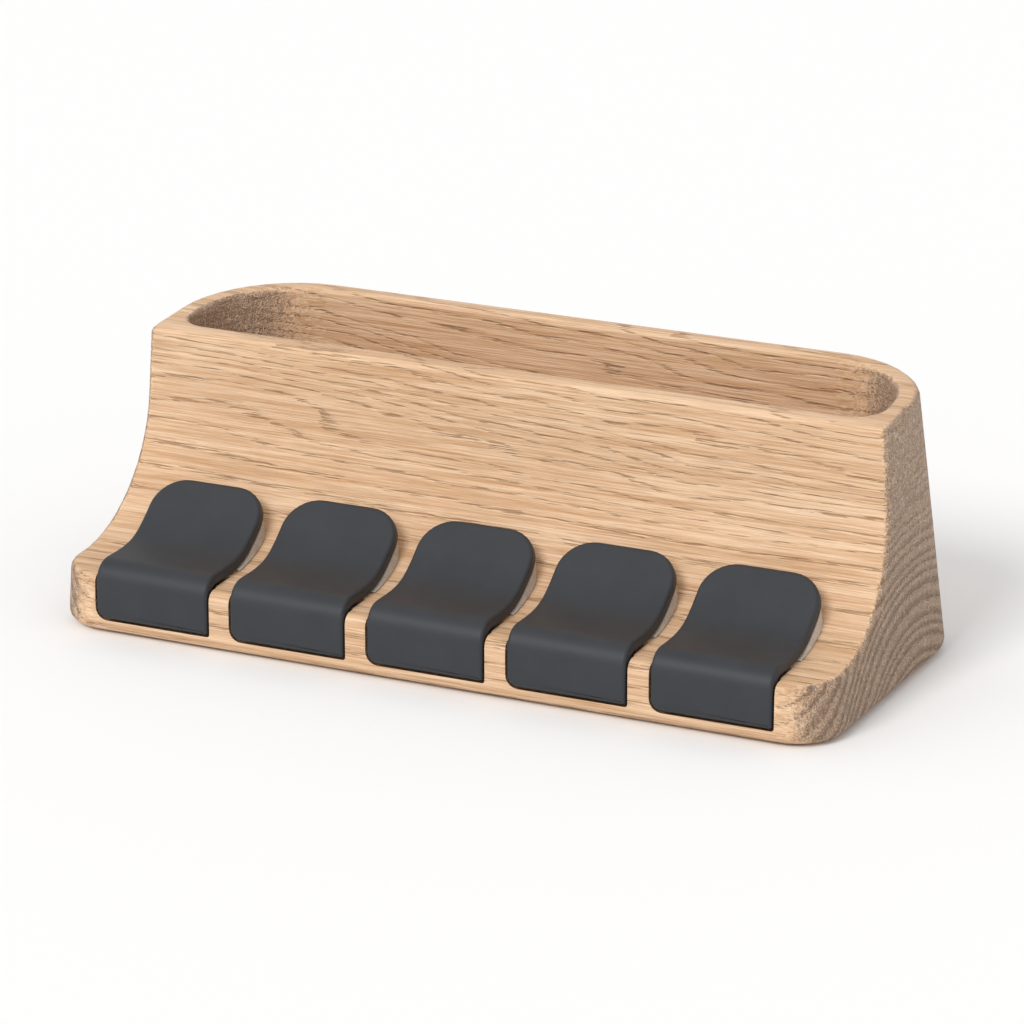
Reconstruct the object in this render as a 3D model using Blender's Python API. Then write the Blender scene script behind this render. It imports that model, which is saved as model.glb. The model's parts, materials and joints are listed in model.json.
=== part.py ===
"""Oak pick holder: five sprung rocker clips along the front and a deep tray behind them.

Sizes are in millimetres. X runs along the length, Y from front to back, Z up, and the
origin is on the floor under the middle of the holder.
"""
import math

import bmesh
import bpy
from mathutils import Vector

# Block of oak
LENGTH = 194.4            # along X at the base
END_DRAFT = 4.3           # each end face leans in by this much at the top
DEPTH = 85.0              # front face to back face
HEIGHT = 64.0             # wood only, at the back, without the feet
RIM_FALL = 2.8            # the rim is lower at the front than at the back by this much
FOOT_SHOW = 0.6           # rubber feet stand out of the base by this much
FRONT_CORNER = 12.0       # plan radius of the two front corners
REAR_CORNER_BASE = 16.0   # plan radius of the rear corners at the base
REAR_CORNER_TOP = 27.5    # and at the rim
EDGE = 1.65               # rounding where the front surfaces meet the ends
BASE_EDGE = 2.6           # rounding round the base
RIM_EDGE = 1.6            # rounding of the outer rim

# Front of the block, seen from the end
LEDGE_Z = 14.0            # top of the front face
CREST = 2.4               # rounding at the top of the front face
LEDGE_RISE = 0.35         # the ledge climbs by this much towards the back
WALL_Y = 42.3             # front of the tray wall
SWEEP = 30.2              # radius of the concave sweep from the ledge to the wall

# Tray
RIM = 5.2                 # wood between the tray and the outside, at the rim
TRAY_FRONT_CORNER = 6.5
TRAY_REAR_CORNER = REAR_CORNER_TOP - RIM
TRAY_DEPTH = 48.0
TRAY_FLOOR_FILLET = 3.5
TRAY_LIP = 1.2            # rounding of the inner rim

# Clips
CLIPS = 5
PITCH = 35.0
CLIP_WIDTH = 29.0
CLIP_THICK = 2.7
CLIP_PROUD = 0.5          # flap face stands in front of the wood
CLIP_TOP = 17.2           # upper face of the clip above the ledge
CLIP_CREST = 5.0          # outer radius where the flap turns over the crest
FLAP_FOOT = 3.6           # lower edge of the flap
TAIL_BEND = [(34.0, 9.0), (15.0, 23.0), (34.0, 9.0)]   # radius and degrees of the turn up to the tail
TAIL_MEET_Y = 17.5        # the tail's line meets the level of the top here
TIP_Y, TIP_CORNER = 31.2, 8.2
CLIP_EDGE = 0.9           # rounding of the clip's outer edge
CLIP_UNDER_EDGE = 0.35
FOOT_CORNER_LEFT = 2.6    # lower corners of the flap
FOOT_CORNER_RIGHT = 0.7

# Pockets that take the clips
SIDE_GAP = 0.45           # between the flap and the wood
LIP_TOP = 3.1             # wood left under the flap, at the front face
LIP_BACK = 2.3            # it falls to this height inside
LIP_RUN = 1.2             # over this depth
POCKET_STEP_Y = 4.2       # the shallow front of the pocket ends here
POCKET_BACK_Y = 11.0
POCKET_FLOOR = 4.5        # floor of the well behind the step
POCKET_OPEN_TOP = 24.0    # the cutters reach up to here, clear of the ledge
WELL_MARGIN = 0.35        # the well is narrower than the pocket by this much on each side

# Pivot
RUN_GAP = 0.3             # clearance between any two neighbouring pieces
PIVOT_Y, PIVOT_Z = 4.2, 12.2
PIN_R = 0.8
PIN_CHAMFER = 0.2
HUB_R = 2.0               # lever round the pin
WEB_Y, WEB_SINK = 1.2, 0.8  # the hub's web starts here and runs this far into the lever
EAR_R = 1.7               # bracket ears round the pin
EAR_SET_IN, EAR_WIDTH = 2.0, 2.0    # the ears stand this far inside the clip's sides
SPRING_SLOT = 3.4         # half the space between the two hubs

# Torsion spring
WIRE_R = 0.28
COIL_R = 1.45             # to the middle of the wire
COIL_HALF = 2.4           # half the length of the coil
COIL_TURNS = 4.5
COIL_STEPS = 12           # points in each turn
FLAP_LEG_Z = 6.2          # the leg on the flap ends here
LEG_BEND_Z = 9.5          # both legs leave the coil straight down to here
BRACKET_LEG_Y = 9.2       # the leg on the bracket ends here

# Grip pad
PAD_BOND = 0.12           # glue line under the tail
PAD_START_Y = 14.6
PAD_OVERHANG = 0.6
PAD_TIP_SETBACK = 0.3
PAD_LEAST = 0.12          # thickness where the wedge runs out

# Bracket
BRACKET_THICK = 1.8
BRACKET_SIDE_GAP = 1.0    # between its ends and the sides of the well
BRACKET_STEP_GAP = 0.4    # in front of the plate
EAR_BACK_Y = 10.0
EAR_ROOT, EAR_SHOULDER = 0.7, 0.8   # the ear starts this far in the plate and rises this far
BOSS_R, BOSS_H = 2.25, 2.5
BOSS_SINK = 0.6
BOSS_GAP = 2.07           # between the bosses and the ends of the spring's coil
BOSS_END = 0.5            # solid left over the screw

# Screws and feet
SCREW_Y = 7.8
SCREW_R, HEAD_R, HEAD_H = 1.0, 2.0, 1.2
HEAD_CHAMFER = 0.25
TIP_CHAMFER = 0.5
SOCKET_R, SOCKET_DEPTH = 0.95, 0.8
COUNTERBORE_DEPTH = 2.0
COUNTERBORE_R = HEAD_R + RUN_GAP + 0.2
FOOT_R, FOOT_THICK = 5.0, 1.6
FOOT_ROUND = 0.5
FEET = {"front_left": (-80.0, 19.0), "front_right": (80.0, 19.0),
        "rear_left": (-72.0, 72.0), "rear_right": (72.0, 72.0)}

BEYOND = 3.0              # cutters stand out of the wood by at least this much
STEP = 0.001              # height of a step between two radii
ROUND_SIDES, FOOT_SIDES, BORE_SIDES = 16, 28, 24
SIDE_STEPS = 7            # points of a block ring along each end
REAR_STEPS = 10           # and round each rear corner
SWEEP_STEPS = 14
STATIONS = [2, 7, 2, 2, 5, 2, 2]   # steps along each piece of the clip's curve

MM = 0.001
MIDDLE_Y = (DEPTH - CLIP_PROUD) / 2

for thing in list(bpy.data.objects):
    bpy.data.objects.remove(thing, do_unlink=True)


def material(name, colour, roughness, metallic=0.0):
    made = bpy.data.materials.new(name)
    made.use_nodes = True
    shader = made.node_tree.nodes["Principled BSDF"]
    shader.inputs["Base Color"].default_value = (*colour, 1)
    shader.inputs["Roughness"].default_value = roughness
    shader.inputs["Metallic"].default_value = metallic
    made.diffuse_color = (*colour, 1)
    return made


OAK = material("oak", (0.62, 0.42, 0.25), 0.55)
SOFT_GREY = material("soft_grey", (0.058, 0.062, 0.068), 0.5)
PAD_GREY = material("pad_grey", (0.5, 0.46, 0.41), 0.8)
STEEL = material("steel", (0.56, 0.57, 0.58), 0.3, 1.0)
SPRING_STEEL = material("spring_steel", (0.45, 0.46, 0.48), 0.25, 1.0)
NYLON = material("black_nylon", (0.03, 0.03, 0.032), 0.6)
ZINC = material("zinc", (0.5, 0.5, 0.47), 0.4, 1.0)
RUBBER = material("rubber", (0.05, 0.05, 0.05), 0.85)


def finish(obj, angle=32.0):
    obj.data.shade_smooth()
    obj.data.set_sharp_from_angle(angle=math.radians(angle))


def solid(name, points, faces, look, origin=(0, 0, 0)):
    """One closed solid. Points and origin are (x, y, z), y from the front face and z from the base."""
    mesh = bpy.data.meshes.new(name)
    place = Vector((origin[0], origin[1] - MIDDLE_Y, origin[2] + FOOT_SHOW)) * MM
    moved = [Vector((x, y - MIDDLE_Y, z + FOOT_SHOW)) * MM - place for x, y, z in points]
    mesh.from_pydata(moved, [], faces)
    shape = bmesh.new()
    shape.from_mesh(mesh)
    bmesh.ops.remove_doubles(shape, verts=shape.verts, dist=1e-7)
    bmesh.ops.recalc_face_normals(shape, faces=shape.faces)
    shape.to_mesh(mesh)
    shape.free()
    obj = bpy.data.objects.new(name, mesh)
    obj.location = place
    bpy.context.scene.collection.objects.link(obj)
    if look:
        mesh.materials.append(look)
    return obj


def loft(rings, first=0):
    """Points and faces of a tube through the rings, with a flat cap at each end."""
    count = len(rings[0])
    points = [p for ring in rings for p in ring]
    faces = []
    for row in range(len(rings) - 1):
        low, high = first + row * count, first + (row + 1) * count
        for i in range(count):
            j = (i + 1) % count
            faces.append((low + i, low + j, high + j, high + i))
    faces.append(tuple(range(first + count - 1, first - 1, -1)))
    faces.append(tuple(range(first + (len(rings) - 1) * count, first + len(rings) * count)))
    return points, faces


def many(lofts):
    points, faces = [], []
    for rings in lofts:
        more, skin = loft(rings, len(points))
        points += more
        faces += skin
    return points, faces


def disc(x, y, z, radius, sides=ROUND_SIDES):
    turn = [2 * math.pi * i / sides for i in range(sides)]
    return [(x + radius * math.cos(a), y + radius * math.sin(a), z) for a in turn]


def bar(x0, x1, outline):
    """A prism along X over a (y, z) outline."""
    return [[(x, y, z) for y, z in outline] for x in (x0, x1)]


def arc(cy, cz, radius, start, end, steps):
    """(y, z) points on a circle, angles in degrees from +Y towards +Z."""
    turn = [math.radians(start + (end - start) * i / steps) for i in range(steps + 1)]
    return [(cy + radius * math.cos(a), cz + radius * math.sin(a)) for a in turn]


def around_pivot(radius):
    """(y, z) circle round the pin's axis."""
    return arc(PIVOT_Y, PIVOT_Z, radius, 0, 360, BORE_SIDES)[:-1]


def bore_along(x0, x1, radius):
    """Cutter for a hole along the pin's axis."""
    return solid("bore", *loft(bar(x0, x1, around_pivot(radius))), None)


def joined(obj, others, operation="DIFFERENCE"):
    """The object with the others cut out of it or added to it."""
    for other in others:
        step = obj.modifiers.new(operation.title(), "BOOLEAN")
        step.operation, step.solver, step.object = operation, "EXACT", other
    bpy.context.view_layer.update()
    graph = bpy.context.evaluated_depsgraph_get()
    mesh = bpy.data.meshes.new_from_object(obj.evaluated_get(graph))
    obj.modifiers.clear()
    obj.data = mesh
    mesh.name = obj.name
    for other in others:
        bpy.data.objects.remove(other, do_unlink=True)
    return obj


# The block: rings from the base to the rim. Each ring runs along the front surface, round
# the right end, along the back and round the left end.

def half_length(z):
    return LENGTH / 2 - END_DRAFT * z / HEIGHT


def rear_radius(z):
    return REAR_CORNER_BASE + (REAR_CORNER_TOP - REAR_CORNER_BASE) * z / HEIGHT


def side_x(y, z, inset):
    """Half length of the block at this depth, with its front corner rounded in plan."""
    radius = FRONT_CORNER - inset
    back = FRONT_CORNER - y
    if back <= 0:
        return half_length(z) - inset
    return half_length(z) - inset - radius + math.sqrt(max(radius ** 2 - back ** 2, 0))


def block_ring(y, z, lean, inset=0.0, base=False):
    """lean is the (y, z) outward normal of the front surface at this point."""
    side_y = y - EDGE * lean[0] if not base else y
    side_z = z - EDGE * lean[1]
    corner = (side_x(y, z, inset), y, z)
    landing = (side_x(side_y, side_z, inset), side_y, side_z)
    right = []
    for turn in (0, 22.5, 45, 67.5, 90):
        a = math.radians(turn)
        along, down = 1 - math.sin(a), 1 - math.cos(a)
        right.append((corner[0] - EDGE * along + (landing[0] - corner[0]) * down,
                      corner[1] + (landing[1] - corner[1]) * down,
                      corner[2] + (landing[2] - corner[2]) * down))
    hx = half_length(side_z) - inset
    radius = FRONT_CORNER - inset
    back_r = rear_radius(side_z) - inset
    back_y = DEPTH - inset
    if side_y < FRONT_CORNER - 0.01:
        start = math.acos(min(1, (FRONT_CORNER - side_y) / radius))
        for i in range(1, SIDE_STEPS + 1):
            a = start + (math.pi / 2 - start) * i / SIDE_STEPS
            right.append((hx - radius + radius * math.sin(a), FRONT_CORNER - radius * math.cos(a),
                          side_z))
    else:
        run = back_y - back_r - side_y
        for i in range(1, SIDE_STEPS + 1):
            right.append((hx, side_y + run * i / (SIDE_STEPS + 1), side_z))
    for i in range(REAR_STEPS + 1):
        a = math.pi / 2 * i / REAR_STEPS
        right.append((hx - back_r + back_r * math.cos(a), back_y - back_r + back_r * math.sin(a),
                      side_z))
    left = [(-x, y, z) for x, y, z in reversed(right)]
    return right + left


def tilted(ring):
    """The ring with its front lowered, so that the rim falls towards the clips."""
    moved = []
    for x, y, z in ring:
        low = z - RIM_FALL * (DEPTH - y) / (DEPTH - WALL_Y)
        moved.append((x * half_length(low) / half_length(z), y, low))
    return moved


def front_profile():
    """(y, z, normal) up the front of the block, above the rounded base edge."""
    steps = [(0.0, BASE_EDGE, (-1, 0)), (0.0, 7.0, (-1, 0)), (0.0, LEDGE_Z - CREST, (-1, 0))]
    for turn in (157.5, 135, 112.5, 92):
        a = math.radians(turn)
        steps.append((CREST + CREST * math.cos(a), LEDGE_Z - CREST + CREST * math.sin(a),
                      (math.cos(a), math.sin(a))))
    centre_y = WALL_Y - SWEEP
    rise = math.atan2(LEDGE_RISE, centre_y)
    foot_y = centre_y + SWEEP * math.sin(rise)
    foot_z = LEDGE_Z + LEDGE_RISE
    centre_z = foot_z + SWEEP * math.cos(rise)
    up = (-math.sin(rise), math.cos(rise))
    for y in (3.4, 5.2, 7.6, 9.8, 11.3, FRONT_CORNER + 0.01):
        steps.append((y, LEDGE_Z + (foot_z - LEDGE_Z) * (y - CREST) / (foot_y - CREST), up))
    for i in range(SWEEP_STEPS + 1):
        a = rise + (math.pi / 2 - rise) * i / SWEEP_STEPS
        steps.append((centre_y + SWEEP * math.sin(a), centre_z - SWEEP * math.cos(a),
                      (-math.sin(a), math.cos(a))))
    return steps


rings = []
for turn in (0, 30, 60):
    a = math.radians(turn)
    inset = BASE_EDGE * (1 - math.sin(a))
    rings.append(block_ring(inset, BASE_EDGE * (1 - math.cos(a)), (-1, 0), inset, base=True))
for y, z, lean in front_profile():
    rings.append(block_ring(y, z, lean, base=y < STEP))
for turn in (0, 30, 60, 90):
    a = math.radians(turn)
    inset = RIM_EDGE * (1 - math.cos(a))
    height = HEIGHT - RIM_EDGE * (1 - math.sin(a))
    rings.append(tilted(block_ring(WALL_Y + inset, height, (-1, 0), inset)))
oak_body = solid("oak_body", *loft(rings), OAK)


def tray_ring(z, grow):
    hx = half_length(HEIGHT) - RIM + grow
    front, back = WALL_Y + RIM - grow, DEPTH - RIM + grow
    front_r, back_r = TRAY_FRONT_CORNER + grow, TRAY_REAR_CORNER + grow
    corners = [(hx, front, front_r, -90), (hx, back, back_r, 0),
               (-hx, back, back_r, 90), (-hx, front, front_r, 180)]
    ring = []
    for x, y, radius, start in corners:
        cx = x - math.copysign(radius, x)
        cy = y + radius if y == front else y - radius
        for i in range(9):
            a = math.radians(start + 90 * i / 8)
            ring.append((cx + radius * math.cos(a), cy + radius * math.sin(a), z))
    return ring


tray_rings = []
for turn in (0, 30, 60, 90):
    a = math.radians(turn)
    tray_rings.append(tray_ring(HEIGHT - TRAY_DEPTH + TRAY_FLOOR_FILLET * (1 - math.cos(a)),
                                -TRAY_FLOOR_FILLET * (1 - math.sin(a))))
for turn in (0, 30, 60, 90):
    a = math.radians(turn)
    height = HEIGHT - TRAY_LIP * (1 - math.sin(a))
    tray_rings.append(tilted(tray_ring(height, TRAY_LIP * (1 - math.cos(a)))))
tray_rings.append(tray_ring(HEIGHT + BEYOND, TRAY_LIP))
tray_cutter = solid("tray_cutter", *loft(tray_rings), None)

CENTRES = [PITCH * (n - (CLIPS - 1) / 2) for n in range(CLIPS)]
POCKET_HALF = CLIP_WIDTH / 2 + SIDE_GAP
EAR_OUT = CLIP_WIDTH / 2 - EAR_SET_IN
EAR_IN = EAR_OUT - EAR_WIDTH
SCREW_X = COIL_HALF + WIRE_R + BOSS_GAP + BOSS_R


def pocket_ring(x, y, bottom):
    """Front view of a pocket, its lower left corner rounder than its lower right."""
    left, right = FOOT_CORNER_LEFT + SIDE_GAP, FOOT_CORNER_RIGHT
    low_x, high_x = x - POCKET_HALF, x + POCKET_HALF
    ring = [(high_x, y, POCKET_OPEN_TOP), (low_x, y, POCKET_OPEN_TOP)]
    for i in range(6):
        a = math.pi / 2 * i / 5
        ring.append((low_x + left * (1 - math.cos(a)), y, bottom + left * (1 - math.sin(a))))
    for i in range(4):
        a = math.pi / 2 * i / 3
        ring.append((high_x - right * (1 - math.sin(a)), y, bottom + right * (1 - math.cos(a))))
    return ring


pocket_steps = [(-BEYOND, LIP_TOP), (0.1, LIP_TOP), (LIP_RUN, LIP_BACK), (POCKET_STEP_Y, LIP_BACK)]
pockets = [[pocket_ring(x, y, bottom) for y, bottom in pocket_steps] for x in CENTRES]
well_half = POCKET_HALF - WELL_MARGIN
bracket_half = well_half - BRACKET_SIDE_GAP
well_front, well_top = POCKET_STEP_Y / 2, POCKET_OPEN_TOP - 1
well_outline = [(well_front, POCKET_FLOOR), (POCKET_BACK_Y, POCKET_FLOOR),
                (POCKET_BACK_Y, well_top), (well_front, well_top)]
wells = [bar(x - well_half, x + well_half, well_outline) for x in CENTRES]
hole_r = SCREW_R + RUN_GAP
screw_holes = []
for x in [centre + side * SCREW_X for centre in CENTRES for side in (-1, 1)]:
    screw_holes.append([disc(x, SCREW_Y, -BEYOND, COUNTERBORE_R),
                        disc(x, SCREW_Y, COUNTERBORE_DEPTH, COUNTERBORE_R),
                        disc(x, SCREW_Y, COUNTERBORE_DEPTH + STEP, hole_r),
                        disc(x, SCREW_Y, POCKET_FLOOR + 1, hole_r)])
recess_r, recess_top = FOOT_R + RUN_GAP, FOOT_THICK - FOOT_SHOW + RUN_GAP
recesses = [[disc(x, y, z, recess_r, FOOT_SIDES) for z in (-BEYOND, recess_top)]
            for x, y in FEET.values()]
cutters = [solid("cutter", *many(group), None) for group in (pockets, wells, screw_holes, recesses)]
joined(oak_body, [tray_cutter, *cutters])
finish(oak_body)


# Clips: a bent plate drawn flat as (x, s) and wrapped over the curve of its upper face.

def clip_curve():
    """Upper face of the clip from the foot of the flap to the tip: (length, turn) of each piece."""
    bend = [(radius * math.radians(turn), math.radians(turn)) for radius, turn in TAIL_BEND]
    angle = sum(turn for length, turn in bend)
    bend_y, bend_z = follow(bend, math.inf, 0, 0, 0)[:2]
    start_y = TAIL_MEET_Y - (bend_y - bend_z / math.tan(angle))
    flap = CLIP_TOP - CLIP_CREST - FLAP_FOOT
    top = start_y - (CLIP_CREST - CLIP_PROUD)
    tail = (TIP_Y - start_y - bend_y) / math.cos(angle)
    return [(flap, 0), (math.pi / 2 * CLIP_CREST, -math.pi / 2), (top, 0), *bend, (tail, 0)]


def follow(pieces, s, y, z, heading):
    """Place and heading at distance s along the pieces, from this place and heading."""
    for length, turn in pieces:
        part = min(s, length)
        if turn:
            radius, ahead = length / turn, heading + turn * part / length
            y += radius * (math.sin(ahead) - math.sin(heading))
            z -= radius * (math.cos(ahead) - math.cos(heading))
            heading = ahead
        else:
            y += part * math.cos(heading)
            z += part * math.sin(heading)
        s -= part
        if s <= 0:
            break
    return y, z, heading


PIECES = clip_curve()
CLIP_LENGTH = sum(length for length, turn in PIECES)
TAIL_ANGLE = sum(turn for length, turn in PIECES[3:])


def wrap(s, depth):
    """(y, z) at distance s along the upper face and this depth under it."""
    y, z, heading = follow(PIECES, s, -CLIP_PROUD, FLAP_FOOT, math.pi / 2)
    return y + depth * math.sin(heading), z - depth * math.cos(heading)


def flat_outline():
    """Right and left edges of the clip drawn flat: lists of (x, s, outward x, outward s)."""
    half = CLIP_WIDTH / 2
    edges = []
    stations, done = [], 0
    for (length, turn), steps in zip(PIECES, STATIONS):
        stations += [done + length * i / steps for i in range(1, steps + 1)]
        done += length
    for corner, sign in ((FOOT_CORNER_RIGHT, 1), (FOOT_CORNER_LEFT, -1)):
        edge = []
        for i in range(5):
            a = math.pi / 2 * i / 4
            edge.append((sign * (half - corner + corner * math.sin(a)), corner - corner * math.cos(a),
                         sign * math.sin(a), -math.cos(a)))
        edge += [(sign * half, s, sign, 0) for s in stations if s < CLIP_LENGTH - TIP_CORNER - 0.2]
        for i in range(9):
            a = math.pi / 2 * i / 8
            edge.append((sign * (half - TIP_CORNER + TIP_CORNER * math.cos(a)),
                         CLIP_LENGTH - TIP_CORNER + TIP_CORNER * math.sin(a),
                         sign * math.cos(a), math.sin(a)))
        edges.append(edge)
    return edges


def clip_shell(xc):
    right, left = flat_outline()
    levels = []
    for turn in (90, 60, 30, 0):
        a = math.radians(turn)
        levels.append((CLIP_EDGE * (1 - math.cos(a)), CLIP_EDGE * (1 - math.sin(a))))
    levels += [(0, CLIP_THICK - CLIP_UNDER_EDGE), (CLIP_UNDER_EDGE, CLIP_THICK)]
    count = len(right)
    points, faces = [], []
    for inset, depth in levels:
        for edge in (right, left[::-1]):
            for x, s, out_x, out_s in edge:
                y, z = wrap(max(s - inset * out_s, 0), depth)
                points.append((xc + x - inset * out_x, y, z))
    size = 2 * count
    for row in range(len(levels) - 1):
        for i in range(size):
            j = (i + 1) % size
            faces.append((row * size + i, row * size + j, (row + 1) * size + j, (row + 1) * size + i))
    for row in (0, len(levels) - 1):
        for i in range(count - 1):
            a, b = row * size + i, row * size + i + 1
            c, d = row * size + size - 2 - i, row * size + size - 1 - i
            faces.append((a, b, c, d))
    return points, faces


def under_tail(y):
    """Height of the clip's underside behind the crest."""
    first, steps = PIECES[0][0] + PIECES[1][0], 200
    low = (0, 0)
    for i in range(steps + 1):
        high = wrap(first + (CLIP_LENGTH - first) * i / steps, CLIP_THICK)
        if high[0] >= y:
            break
        low = high
    share = min((y - low[0]) / (high[0] - low[0]), 1) if high[0] > low[0] else 0
    return low[1] + (high[1] - low[1]) * share


def ledge_height(y):
    """Height of the wood's sweep behind the ledge."""
    centre_y = WALL_Y - SWEEP
    rise = math.atan2(LEDGE_RISE, centre_y)
    centre_z = LEDGE_Z + LEDGE_RISE + SWEEP * math.cos(rise)
    if y < centre_y + SWEEP * math.sin(rise):
        return LEDGE_Z + LEDGE_RISE * (y - CREST) / (centre_y - CREST)
    return centre_z - math.sqrt(SWEEP ** 2 - (y - centre_y) ** 2)


def pad_solid(name, xc):
    """A wedge that fills the space between the tail and the wood."""
    tip_y = wrap(CLIP_LENGTH, CLIP_THICK)[0] - PAD_TIP_SETBACK
    half = CLIP_WIDTH / 2 + PAD_OVERHANG
    corner = TIP_CORNER * math.cos(TAIL_ANGLE) + PAD_OVERHANG
    widths = []
    for i in range(6):
        widths.append((PAD_START_Y + (tip_y - corner - PAD_START_Y) * i / 6, half))
    for i in range(9):
        a = math.pi / 2 * i / 8
        widths.append((tip_y - corner + corner * math.sin(a),
                       half - TIP_CORNER + TIP_CORNER * math.cos(a)))
    points, faces = [], []
    for y, wide in widths:
        low = ledge_height(y) + RUN_GAP
        high = max(under_tail(y) - PAD_BOND, low + PAD_LEAST)
        shrink = min(PAD_OVERHANG, 0.5 * (high - low) + 0.1)
        points += [(xc - wide, y, low), (xc + wide, y, low),
                   (xc + wide - shrink, y, high), (xc - wide + shrink, y, high)]
    rows = len(widths)
    for r in range(rows - 1):
        for i in range(4):
            j = (i + 1) % 4
            faces.append((r * 4 + i, r * 4 + j, r * 4 + 4 + j, r * 4 + 4 + i))
    faces += [(0, 1, 2, 3), (rows * 4 - 1, rows * 4 - 2, rows * 4 - 3, rows * 4 - 4)]
    return solid(name, points, faces, PAD_GREY, (xc, PIVOT_Y, PIVOT_Z))


def tube(path, radius, sides=6):
    """A round wire along the path, as rings across it."""
    rings = []
    for i, here in enumerate(path):
        before, after = path[max(i - 1, 0)], path[min(i + 1, len(path) - 1)]
        along = (after - before).normalized()
        side = along.cross(Vector((1, 0, 0)))
        if side.length < 0.3:
            side = along.cross(Vector((0, 1, 0)))
        side.normalize()
        up = side.cross(along)
        rings.append([tuple(here + (side * math.cos(a) + up * math.sin(a)) * radius)
                      for a in [2 * math.pi * k / sides for k in range(sides)]])
    return rings


def spring_path(xc):
    """Torsion spring: one leg down the inside of the flap, the other on to the bracket."""
    leg_in = xc - COIL_HALF
    path = [Vector((leg_in, PIVOT_Y - COIL_R, z)) for z in (FLAP_LEG_Z, LEG_BEND_Z)]
    total = int(COIL_TURNS * COIL_STEPS)
    for i in range(total + 1):
        a = math.pi - 2 * math.pi * i / COIL_STEPS
        path.append(Vector((leg_in + 2 * COIL_HALF * i / total,
                            PIVOT_Y + COIL_R * math.cos(a), PIVOT_Z + COIL_R * math.sin(a))))
    rest_z = plate_high + RUN_GAP + WIRE_R
    for y, z in ((COIL_R, LEG_BEND_Z), (COIL_R + 0.2, rest_z + 2 * WIRE_R), (COIL_R + 1, rest_z),
                 (BRACKET_LEG_Y - PIVOT_Y, rest_z)):
        path.append(Vector((xc + COIL_HALF, PIVOT_Y + y, z)))
    return path


plate_low = POCKET_FLOOR + RUN_GAP
plate_high = plate_low + BRACKET_THICK
bore_r = PIN_R + RUN_GAP
screw_end = plate_high + BOSS_H - BOSS_END


def clip_lever(number, xc):
    """The bent plate, with two hubs that hang from it on the pin."""
    name, pivot = f"clip_lever_{number}", (xc, PIVOT_Y, PIVOT_Z)
    lever = solid(name, *clip_shell(xc), SOFT_GREY, pivot)
    web_top = CLIP_TOP - CLIP_THICK + WEB_SINK
    web = [(WEB_Y, PIVOT_Z - HUB_R + 0.4)]
    web += arc(PIVOT_Y, PIVOT_Z, HUB_R, -120, 0, 6)
    web += [(PIVOT_Y + HUB_R, web_top), (WEB_Y, web_top)]
    hub_end = EAR_IN - RUN_GAP
    hubs = [solid("hub", *loft(bar(xc + a, xc + b, web)), None)
            for a, b in ((-hub_end, -SPRING_SLOT), (SPRING_SLOT, hub_end))]
    joined(lever, hubs, "UNION")
    joined(lever, [bore_along(xc - EAR_OUT, xc + EAR_OUT, bore_r)])
    finish(lever)


def pivot_pin(number, xc):
    """A plain pin with chamfered ends."""
    end = EAR_OUT + RUN_GAP
    wide, narrow = around_pivot(PIN_R), around_pivot(PIN_R - PIN_CHAMFER)
    stations = [(-end, narrow), (PIN_CHAMFER - end, wide), (end - PIN_CHAMFER, wide), (end, narrow)]
    rings = [[(xc + x, y, z) for y, z in circle] for x, circle in stations]
    finish(solid(f"pivot_pin_{number}", *loft(rings), STEEL, (xc, PIVOT_Y, PIVOT_Z)))


def pivot_bracket(number, xc):
    """Plate on the pocket floor, with two ears for the pin and two bosses for the screws."""
    front, back = POCKET_STEP_Y + BRACKET_STEP_GAP, POCKET_BACK_Y - RUN_GAP
    plate = [(front, plate_low), (back, plate_low), (back, plate_high), (front, plate_high)]
    bracket = solid(f"pivot_bracket_{number}", *loft(bar(xc - bracket_half, xc + bracket_half, plate)),
                    NYLON, (xc, SCREW_Y, plate_low))
    ear = [(front + RUN_GAP, plate_high - EAR_ROOT), (EAR_BACK_Y, plate_high - EAR_ROOT),
           (EAR_BACK_Y, plate_high + EAR_SHOULDER)]
    ear += arc(PIVOT_Y, PIVOT_Z, EAR_R, 40, 200, 9)
    added = [solid("ear", *loft(bar(xc + a, xc + b, ear)), None)
             for a, b in ((-EAR_OUT, -EAR_IN), (EAR_IN, EAR_OUT))]
    bores = [bore_along(xc - EAR_OUT - BEYOND, xc + EAR_OUT + BEYOND, bore_r)]
    for x in (xc - SCREW_X, xc + SCREW_X):
        boss = [disc(x, SCREW_Y, z, BOSS_R) for z in (plate_high - BOSS_SINK, plate_high + BOSS_H)]
        added.append(solid("boss", *loft(boss), None))
        bore = [disc(x, SCREW_Y, z, hole_r) for z in (plate_low - BEYOND, screw_end)]
        bores.append(solid("bore", *loft(bore), None))
    joined(bracket, added, "UNION")
    joined(bracket, bores)
    finish(bracket)


def bracket_screw(name, x):
    """Driven from below: a flat head with a hexagon socket, and a plain shank."""
    head_low = COUNTERBORE_DEPTH - RUN_GAP - HEAD_H
    head_high = head_low + HEAD_H
    tip = screw_end - RUN_GAP
    stations = [(head_low, HEAD_R - HEAD_CHAMFER), (head_low + HEAD_CHAMFER, HEAD_R),
                (head_high, HEAD_R), (head_high + STEP, SCREW_R),
                (tip - TIP_CHAMFER, SCREW_R), (tip, SCREW_R - TIP_CHAMFER * 0.8)]
    screw = solid(name, *loft([disc(x, SCREW_Y, z, radius) for z, radius in stations]), ZINC,
                  (x, SCREW_Y, head_low))
    socket = [disc(x, SCREW_Y, z, SOCKET_R, 6) for z in (head_low - 1, head_low + SOCKET_DEPTH)]
    joined(screw, [solid("socket", *loft(socket), None)])
    finish(screw)


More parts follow.
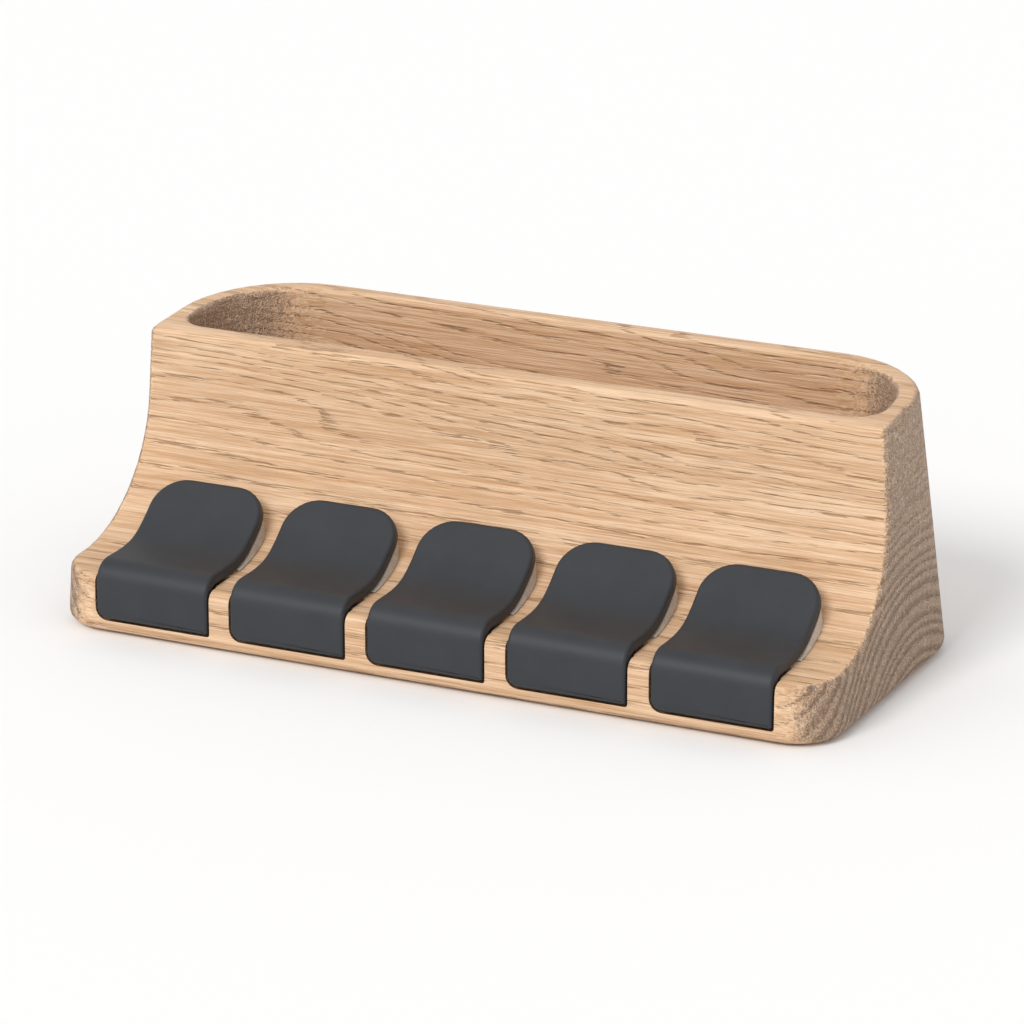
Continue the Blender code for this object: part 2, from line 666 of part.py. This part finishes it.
for number, xc in enumerate(CENTRES, 1):
    clip_lever(number, xc)
    finish(pad_solid(f"grip_pad_{number}", xc))
    pivot_pin(number, xc)
    spring = loft(tube(spring_path(xc), WIRE_R))
    finish(solid(f"torsion_spring_{number}", *spring, SPRING_STEEL, (xc, PIVOT_Y, PIVOT_Z)))
    pivot_bracket(number, xc)
    bracket_screw(f"bracket_screw_{number}_left", xc - SCREW_X)
    bracket_screw(f"bracket_screw_{number}_right", xc + SCREW_X)

for place, (x, y) in FEET.items():
    stations = [(0, FOOT_R - FOOT_ROUND), (0.15, FOOT_R - 0.15), (FOOT_ROUND, FOOT_R),
                (FOOT_THICK, FOOT_R)]
    foot = [disc(x, y, z - FOOT_SHOW, radius, FOOT_SIDES) for z, radius in stations]
    finish(solid(f"foot_{place}", *loft(foot), RUBBER, (x, y, -FOOT_SHOW)))
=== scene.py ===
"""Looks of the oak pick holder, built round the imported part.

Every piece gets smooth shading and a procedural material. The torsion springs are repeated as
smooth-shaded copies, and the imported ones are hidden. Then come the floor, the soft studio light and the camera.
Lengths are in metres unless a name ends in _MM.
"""

import json
import math

import bpy
from mathutils import Matrix, Vector


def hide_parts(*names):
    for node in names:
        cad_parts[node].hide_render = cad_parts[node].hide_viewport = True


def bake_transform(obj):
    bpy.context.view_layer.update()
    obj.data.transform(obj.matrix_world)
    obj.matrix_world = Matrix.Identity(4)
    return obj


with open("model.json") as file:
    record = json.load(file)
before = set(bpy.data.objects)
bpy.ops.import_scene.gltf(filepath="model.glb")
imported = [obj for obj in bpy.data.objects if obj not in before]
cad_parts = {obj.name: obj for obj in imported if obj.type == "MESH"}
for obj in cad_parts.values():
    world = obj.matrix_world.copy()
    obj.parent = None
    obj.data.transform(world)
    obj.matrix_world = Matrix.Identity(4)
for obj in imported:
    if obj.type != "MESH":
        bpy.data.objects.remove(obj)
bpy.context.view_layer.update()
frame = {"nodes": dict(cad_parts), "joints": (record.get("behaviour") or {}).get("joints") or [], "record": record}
MM = 0.001

# Camera, as angles and distance round the point that it looks at
CAMERA_AZIMUTH = math.radians(25.68)
CAMERA_ELEVATION = math.radians(18.63)
CAMERA_ROLL = math.radians(-0.11)
CAMERA_DISTANCE = 1.1687
CAMERA_LENS_MM = 181.1
CAMERA_SENSOR_MM = 36
LOOK_AT = Vector((0.0075, -0.0124, 0.0340))

SHARP_DEGREES = 38.0          # edges that turn by more than this stay sharp
WELD_MM = 0.002               # corners nearer than this are one

# Light: a broad key from the front, above, in a white room that is equally bright all round
SUN_AZIMUTH = math.radians(-12)
SUN_ELEVATION = math.radians(40)
SUN_WIDTH = math.radians(24)
SUN_STRENGTH = 1.6
SUN_COLOUR = (1.0, 0.99, 0.98)
ROOM_STRENGTH = 0.76
FLOOR_WHITE = (0.925, 0.925, 0.925)
FLOOR_SIZE = 12

# Growth rings of the oak: cylinders along X round a pith below the board
PITH_Y_MM, PITH_Z_MM = 12.0, -30.0
RING_MM = 2.8
RING_UNEVEN_MM = 2.4          # how much wide and narrow years differ
GRAIN_SWAY_MM = 5.0           # slow wander of the rings along the board
GRAIN_CLIMB = 0.05            # slope of the rings high in the wall
FIGURE_MM = 16.0              # extra wander of the rings high in the wall
RIPPLE_MM = 1.3               # fine raggedness of each ring
SWELL_MM = 7.0                # the grain bulges round a swelling near the left end
SWELL_X_MM, SWELL_Z_MM = -66.0, 50.0
SWELL_LONG_MM, SWELL_HIGH_MM = 26.0, 11.0

# Marks in the oak, as their sizes along X, Y and Z
PORE_MM = (8, 0.24, 0.24)
FIBRE_MM = (26, 0.3, 0.3)
BAND_MM = (55, 1.5, 1.5)
FLAME_MM = (90, 9, 9)
SQUIGGLE_MM = (1.6, 1.9, 3.6)
END_DOT_MM = (0.9, 0.45, 0.45)
PORE_HIGHLIGHT_SHIFT_MM = (0, 0.1, 0.28)  # a painted highlight, standing in for light caught on a pore's lip, lies this far below each pore

# Colours of the oak, long grain and end grain
# OAK_PALE_AND_HIGHLIGHT is pale wood in the fibres, and also the colour of the painted highlight below each pore
OAK_PALE_AND_HIGHLIGHT = (0.86, 0.66, 0.475)
OAK_LIGHT = (0.82, 0.58, 0.385)
OAK_MIDDLE = (0.74, 0.495, 0.31)
OAK_STREAK = (0.52, 0.29, 0.14)
OAK_SPRING = (0.60, 0.355, 0.18)
OAK_PORE = (0.24, 0.105, 0.045)
END_LIGHT = (0.62, 0.43, 0.30)
END_DARK = (0.29, 0.185, 0.118)
END_RAY = (0.86, 0.64, 0.47)

# Colours of the clips' coating and of the pads under their tails
CLIP_DARK = (0.0255, 0.0285, 0.0335)
CLIP_LIGHT = (0.0295, 0.033, 0.0385)
CLIP_SPECK = (0.033, 0.0365, 0.041)
PAD_LIGHT = (0.56, 0.50, 0.43)
PAD_DARK = (0.47, 0.415, 0.355)
PAD_LINE = (0.36, 0.31, 0.26)


class Look:
    """A material in the making. Most methods add a node and give its output."""

    def __init__(self, name, **values):
        self.material = bpy.data.materials.new(name)
        self.material.use_nodes = True
        self.tree = self.material.node_tree
        self.shader = self.tree.nodes["Principled BSDF"]
        for socket, value in values.items():
            self.set(socket.replace("_", " "), value)
        where = self.node("ShaderNodeTexCoord")
        self.place = self.scaled(where.outputs["Object"], (1000, 1000, 1000))
        self.facing = where.outputs["Normal"]

    def node(self, kind, **settings):
        made = self.tree.nodes.new(kind)
        for name, value in settings.items():
            setattr(made, name, value)
        return made

    def feed(self, socket, value):
        if isinstance(value, bpy.types.NodeSocket):
            self.tree.links.new(value, socket)
        else:
            socket.default_value = value

    def set(self, socket, value):
        self.feed(self.shader.inputs[socket], value)

    def scaled(self, vector, factors):
        made = self.node("ShaderNodeVectorMath", operation="MULTIPLY")
        self.feed(made.inputs[0], vector)
        made.inputs[1].default_value = factors
        return made.outputs[0]

    def shifted(self, vector, offset):
        made = self.node("ShaderNodeVectorMath", operation="ADD")
        self.feed(made.inputs[0], vector)
        made.inputs[1].default_value = offset
        return made.outputs[0]

    def split(self, vector):
        made = self.node("ShaderNodeSeparateXYZ")
        self.feed(made.inputs[0], vector)
        return made.outputs

    def joined(self, x, y, z):
        made = self.node("ShaderNodeCombineXYZ")
        for socket, value in zip(made.inputs, (x, y, z)):
            self.feed(socket, value)
        return made.outputs[0]

    def maths(self, operation, *values):
        made = self.node("ShaderNodeMath", operation=operation)
        for socket, value in zip(made.inputs, values):
            self.feed(socket, value)
        return made.outputs[0]

    def add(self, first, second):
        return self.maths("ADD", first, second)

    def minus(self, first, second):
        return self.maths("SUBTRACT", first, second)

    def times(self, first, second):
        return self.maths("MULTIPLY", first, second)

    def over(self, first, second):
        return self.maths("DIVIDE", first, second)

    def fade(self, value, low, high, at_low=0.0, at_high=1.0):
        """at_low below low, at_high above high, and a smooth step between."""
        made = self.node("ShaderNodeMapRange", interpolation_type="SMOOTHSTEP")
        for socket, number in zip(made.inputs, (value, low, high, at_low, at_high)):
            self.feed(socket, number)
        return made.outputs[0]

    def noise(self, size_mm, detail=2.0, roughness=0.5, distortion=0.0, vector=None):
        """Noise with features of these sizes along X, Y and Z."""
        made = self.node("ShaderNodeTexNoise")
        where = self.place if vector is None else vector
        self.feed(made.inputs["Vector"], self.scaled(where, [1 / size for size in size_mm]))
        made.inputs["Scale"].default_value = 1.0
        made.inputs["Detail"].default_value = detail
        made.inputs["Roughness"].default_value = roughness
        made.inputs["Distortion"].default_value = distortion
        return made.outputs[0]

    def mix(self, amount, first, second):
        """The first colour where amount is 0, the second where it is 1."""
        made = self.node("ShaderNodeMix", data_type="RGBA")
        self.feed(made.inputs["Factor"], amount)
        colours = [socket for socket in made.inputs if socket.type == "RGBA"]
        for socket, value in zip(colours, (first, second)):
            self.feed(socket, value if isinstance(value, bpy.types.NodeSocket) else (*value, 1))
        return [socket for socket in made.outputs if socket.type == "RGBA"][0]

    def bump(self, height, depth_mm, strength=1.0, under=None):
        made = self.node("ShaderNodeBump")
        made.inputs["Distance"].default_value = depth_mm * MM
        made.inputs["Strength"].default_value = strength
        self.feed(made.inputs["Height"], height)
        if under is not None:
            self.feed(made.inputs["Normal"], under)
        return made.outputs[0]


def smooth_shading():
    """Geometry nodes that join the triangles and shade them smooth, except over sharp edges."""
    group = bpy.data.node_groups.new("SmoothShading", "GeometryNodeTree")
    for way in ("INPUT", "OUTPUT"):
        group.interface.new_socket("Geometry", in_out=way, socket_type="NodeSocketGeometry")
    kinds = ("NodeGroupInput", "GeometryNodeMergeByDistance", "GeometryNodeSetShadeSmooth",
             "GeometryNodeSetShadeSmooth", "NodeGroupOutput")
    steps = [group.nodes.new(kind) for kind in kinds]
    for first, second in zip(steps, steps[1:]):
        group.links.new(first.outputs[0], second.inputs[0])
    merge, _, edges = steps[1:4]
    merge.inputs["Distance"].default_value = WELD_MM * MM
    edges.domain = "EDGE"
    edges.inputs["Shade Smooth"].default_value = False
    angle = group.nodes.new("GeometryNodeInputMeshEdgeAngle")
    sharp = group.nodes.new("FunctionNodeCompare")
    group.links.new(angle.outputs[0], sharp.inputs[0])
    sharp.inputs[1].default_value = math.radians(SHARP_DEGREES)
    group.links.new(sharp.outputs[0], edges.inputs["Selection"])
    return group


def oak():
    look = Look("Oak", IOR=1.45, Specular_IOR_Level=0.3)
    x, y, z = look.split(look.place)

    # Ring number at this point: distance from the pith, with the grain's slope, sway and swelling
    sway = look.times(look.minus(look.noise((150, 120, 60)), 0.5), 2 * GRAIN_SWAY_MM)
    climb = look.times(x, look.fade(z, 24, 58, 0.0, GRAIN_CLIMB))
    off_x = look.maths("POWER", look.over(look.minus(x, SWELL_X_MM), SWELL_LONG_MM), 2)
    off_z = look.maths("POWER", look.over(look.minus(z, SWELL_Z_MM), SWELL_HIGH_MM), 2)
    swell = look.over(SWELL_MM, look.add(1, look.add(off_x, off_z)))
    up = look.add(look.add(look.minus(z, PITH_Z_MM), sway), look.minus(climb, swell))
    across = look.minus(y, PITH_Y_MM)
    radius = look.maths("SQRT", look.add(look.maths("POWER", up, 2), look.maths("POWER", across, 2)))
    uneven = look.noise((1, 9, 1), 1, vector=look.joined(0, radius, 0))
    radius = look.add(radius, look.times(uneven, 2 * RING_UNEVEN_MM))
    ripple = look.noise((9, 1.2, 1.2), 3, 0.6)
    radius = look.add(radius, look.times(look.minus(ripple, 0.5), RIPPLE_MM))
    figure = look.minus(look.noise((70, 18, 18)), 0.5)
    radius = look.add(radius, look.times(figure, look.fade(z, 26, 50, 0, FIGURE_MM)))
    season = look.maths("FRACT", look.over(radius, RING_MM))

    # Spring wood is full of pores and darker; summer wood is dense and even
    spring_wood = look.times(look.fade(season, 0.0, 0.06), look.fade(season, 0.08, 0.3, 1, 0))
    fibre = look.noise(FIBRE_MM, 3, 0.7)
    bands = look.noise(BAND_MM, 3, 0.6)
    flame = look.noise(FLAME_MM, 3, 0.55)
    crowd = look.fade(spring_wood, 0.05, 0.7, 0.16, 1)
    pores = look.times(look.fade(look.noise(PORE_MM, 1, 0.5), 0.5, 0.6), crowd)
    # The same pores again, shifted down, mask a painted highlight that stands in for light on each pore's lip
    shifted_pores = look.noise(PORE_MM, 1, 0.5, vector=look.shifted(look.place, PORE_HIGHLIGHT_SHIFT_MM))
    painted_highlight = look.times(look.fade(shifted_pores, 0.52, 0.62), crowd)

    colour = look.mix(look.fade(flame, 0.34, 0.66), OAK_LIGHT, OAK_MIDDLE)
    colour = look.mix(look.fade(bands, 0.42, 0.7, 0, 0.7), colour, OAK_STREAK)
    colour = look.mix(look.fade(fibre, 0.44, 0.7, 0, 0.95), colour, OAK_STREAK)
    colour = look.mix(look.fade(fibre, 0.48, 0.28, 0, 0.5), colour, OAK_PALE_AND_HIGHLIGHT)
    colour = look.mix(look.times(spring_wood, 0.34), colour, OAK_SPRING)
    # Painted highlight: a pale line just below each pore, in place of light caught by its relief
    colour = look.mix(look.times(painted_highlight, 0.6), colour, OAK_PALE_AND_HIGHLIGHT)
    colour = look.mix(look.times(pores, 0.6), colour, OAK_PORE)

    # End grain: greyer, with the rings as arches and fine squiggles between them
    ragged = look.noise((1.0, 1.6, 1.6), 3, 0.7)
    turned = look.maths("ABSOLUTE", look.split(look.facing)["X"])
    end = look.fade(look.add(turned, look.times(look.minus(ragged, 0.5), 0.9)), 0.3, 0.68)
    worm = look.noise(SQUIGGLE_MM, 1.5, 0.5, 1.8)
    squiggle = look.fade(look.maths("ABSOLUTE", look.minus(worm, 0.5)), 0.0, 0.07, 1, 0)
    dots = look.fade(look.noise(END_DOT_MM, 2, 0.65), 0.42, 0.66)
    arch = look.times(look.fade(season, 0.0, 0.2), look.fade(season, 0.3, 0.75, 1, 0))
    end_colour = look.mix(look.times(arch, look.fade(z, 20, 52, 0.85, 0.2)), END_LIGHT, END_DARK)
    end_colour = look.mix(look.times(dots, 0.55), end_colour, END_DARK)
    rays = look.times(squiggle, look.fade(z, 12, 50, 0.35, 0.75))
    end_colour = look.mix(rays, end_colour, END_RAY)
    look.set("Base Color", look.mix(end, colour, end_colour))

    height = look.add(look.times(pores, -1.0), look.times(fibre, -0.6))
    height = look.add(height, look.times(spring_wood, -0.45))
    fine = look.bump(height, 0.3, 0.7)
    raised = look.times(look.add(squiggle, look.times(dots, -0.8)), end)
    look.set("Normal", look.bump(raised, 0.4, 0.9, fine))
    rough = look.add(0.44, look.times(fibre, 0.16))
    look.set("Roughness", look.add(rough, look.times(pores, 0.25)))
    return look.material


def soft_touch():
    """Charcoal plastic with a fine even texture."""
    look = Look("SoftGrey", IOR=1.48)
    cells = look.noise((0.28, 0.28, 0.28), 2, 0.6)
    clouds = look.noise((9, 9, 9), 3, 0.6)
    tone = look.mix(look.fade(clouds, 0.3, 0.7), CLIP_DARK, CLIP_LIGHT)
    look.set("Base Color", look.mix(look.fade(cells, 0.4, 0.75, 0, 0.3), tone, CLIP_SPECK))
    look.set("Roughness", look.add(0.46, look.times(clouds, 0.12)))
    look.set("Specular IOR Level", 0.4)
    look.set("Normal", look.bump(cells, 0.05, 0.35))
    return look.material


def silicone():
    """Pale pads, with faint slanting lines from the mould."""
    look = Look("PadGrey", Roughness=0.62)
    x, y, z = look.split(look.place)
    slant = look.add(look.times(y, 0.8), look.add(z, look.times(x, 0.25)))
    wave = look.maths("SINE", look.times(slant, 5.5))
    mottle = look.noise((1.5, 1.5, 1.5), 3)
    tone = look.mix(look.fade(mottle, 0.3, 0.7), PAD_LIGHT, PAD_DARK)
    look.set("Base Color", look.mix(look.fade(wave, -0.2, 1, 0, 0.22), tone, PAD_LINE))
    look.set("Normal", look.bump(look.add(wave, look.times(mottle, 2)), 0.04, 0.4))
    return look.material


def metal(name, colour, rough, brush_mm, wear):
    """Drawn or plated metal: brush_mm is the size of its marks along X, Y and Z."""
    look = Look(name, Metallic=1.0)
    marks = look.noise(brush_mm, 3, 0.6)
    dirt = look.noise((2.5, 2.5, 2.5), 3, 0.6)
    darker = tuple(part * (1 - wear) for part in colour)
    look.set("Base Color", look.mix(look.fade(dirt, 0.35, 0.7), colour, darker))
    look.set("Roughness", look.add(rough - 0.08, look.times(marks, 0.18)))
    look.set("Normal", look.bump(marks, 0.03, 0.4))
    return look.material


def moulded(name, colour, rough, grain_mm):
    """Black nylon or rubber with a fine moulded grain."""
    look = Look(name)
    cells = look.noise((grain_mm,) * 3, 3, 0.6)
    cloud = look.noise((6, 6, 6), 2)
    lighter = tuple(part * 1.9 + 0.004 for part in colour)
    look.set("Base Color", look.mix(look.fade(cloud, 0.3, 0.8, 0.05, 0.6), colour, lighter))
    look.set("Roughness", look.add(rough - 0.06, look.times(cells, 0.14)))
    look.set("Normal", look.bump(cells, 0.06, 0.45))
    return look.material


LOOKS = {
    "oak": oak(),
    "soft_grey": soft_touch(),
    "pad_grey": silicone(),
    "steel": metal("PinSteel", (0.56, 0.57, 0.58), 0.3, (0.2, 2, 2), 0.2),
    "spring_steel": metal("SpringSteel", (0.45, 0.46, 0.48), 0.28, (0.5, 0.5, 0.5), 0.3),
    "black_nylon": moulded("BlackNylon", (0.02, 0.02, 0.022), 0.55, 0.3),
    "zinc": metal("Zinc", (0.55, 0.56, 0.54), 0.38, (0.6, 0.6, 0.6), 0.25),
    "rubber": moulded("Rubber", (0.018, 0.018, 0.018), 0.8, 0.5),
}
smoothing = smooth_shading()
for entry in frame["record"]["subparts"]:
    piece = frame["nodes"][entry["node"]]
    piece.modifiers.new("smooth", "NODES").node_group = smoothing
    weighted = piece.modifiers.new("weighted", "WEIGHTED_NORMAL")
    weighted.keep_sharp = True
    piece.data.materials.clear()
    piece.data.materials.append(LOOKS[entry["material_slot"]])


def flexing_spring(number):
    """The torsion spring again: a smooth-shaded copy that stands in for the hidden imported one."""
    still = frame["nodes"][f"torsion_spring_{number}"]
    spring = bpy.data.objects.new(f"flexing_spring_{number}", still.data.copy())
    bpy.context.scene.collection.objects.link(spring)
    spring.modifiers.new("smooth", "NODES").node_group = smoothing
    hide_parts(still.name)
    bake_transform(spring)


for joint in frame["joints"]:
    flexing_spring(joint["child"].split("_")[1])


# Floor, light and camera

def direction(azimuth, elevation):
    """Azimuth 0 is in front of the holder, 90 degrees to its right."""
    return Vector((math.sin(azimuth) * math.cos(elevation),
                   -math.cos(azimuth) * math.cos(elevation), math.sin(elevation)))


def floor():
    bpy.ops.mesh.primitive_plane_add(size=FLOOR_SIZE)
    plane = bpy.context.object
    plane.name = "floor"
    look = Look("Floor", Roughness=0.75, Specular_IOR_Level=0.1)
    look.set("Base Color", (*FLOOR_WHITE, 1))
    plane.data.materials.append(look.material)


def sun():
    light = bpy.data.lights.new("key", "SUN")
    light.energy, light.angle, light.color = SUN_STRENGTH, SUN_WIDTH, SUN_COLOUR
    carrier = bpy.data.objects.new("key", light)
    bpy.context.scene.collection.objects.link(carrier)
    away = direction(SUN_AZIMUTH, SUN_ELEVATION)
    carrier.rotation_euler = away.to_track_quat("Z", "Y").to_euler()


def camera():
    lens = bpy.data.cameras.new("camera")
    lens.lens, lens.sensor_width = CAMERA_LENS_MM, CAMERA_SENSOR_MM
    carrier = bpy.data.objects.new("camera", lens)
    bpy.context.scene.collection.objects.link(carrier)
    back = direction(CAMERA_AZIMUTH, CAMERA_ELEVATION)
    turn = back.to_track_quat("Z", "Y").to_matrix().to_4x4() @ Matrix.Rotation(CAMERA_ROLL, 4, "Z")
    carrier.matrix_world = Matrix.Translation(LOOK_AT + back * CAMERA_DISTANCE) @ turn
    bpy.context.scene.camera = carrier


def room():
    world = bpy.data.worlds.new("studio")
    world.use_nodes = True
    background = world.node_tree.nodes["Background"]
    background.inputs["Color"].default_value = (1, 1, 1, 1)
    background.inputs["Strength"].default_value = ROOM_STRENGTH
    bpy.context.scene.world = world
    bpy.context.scene.view_settings.view_transform = "Standard"


floor()
sun()
camera()
room()
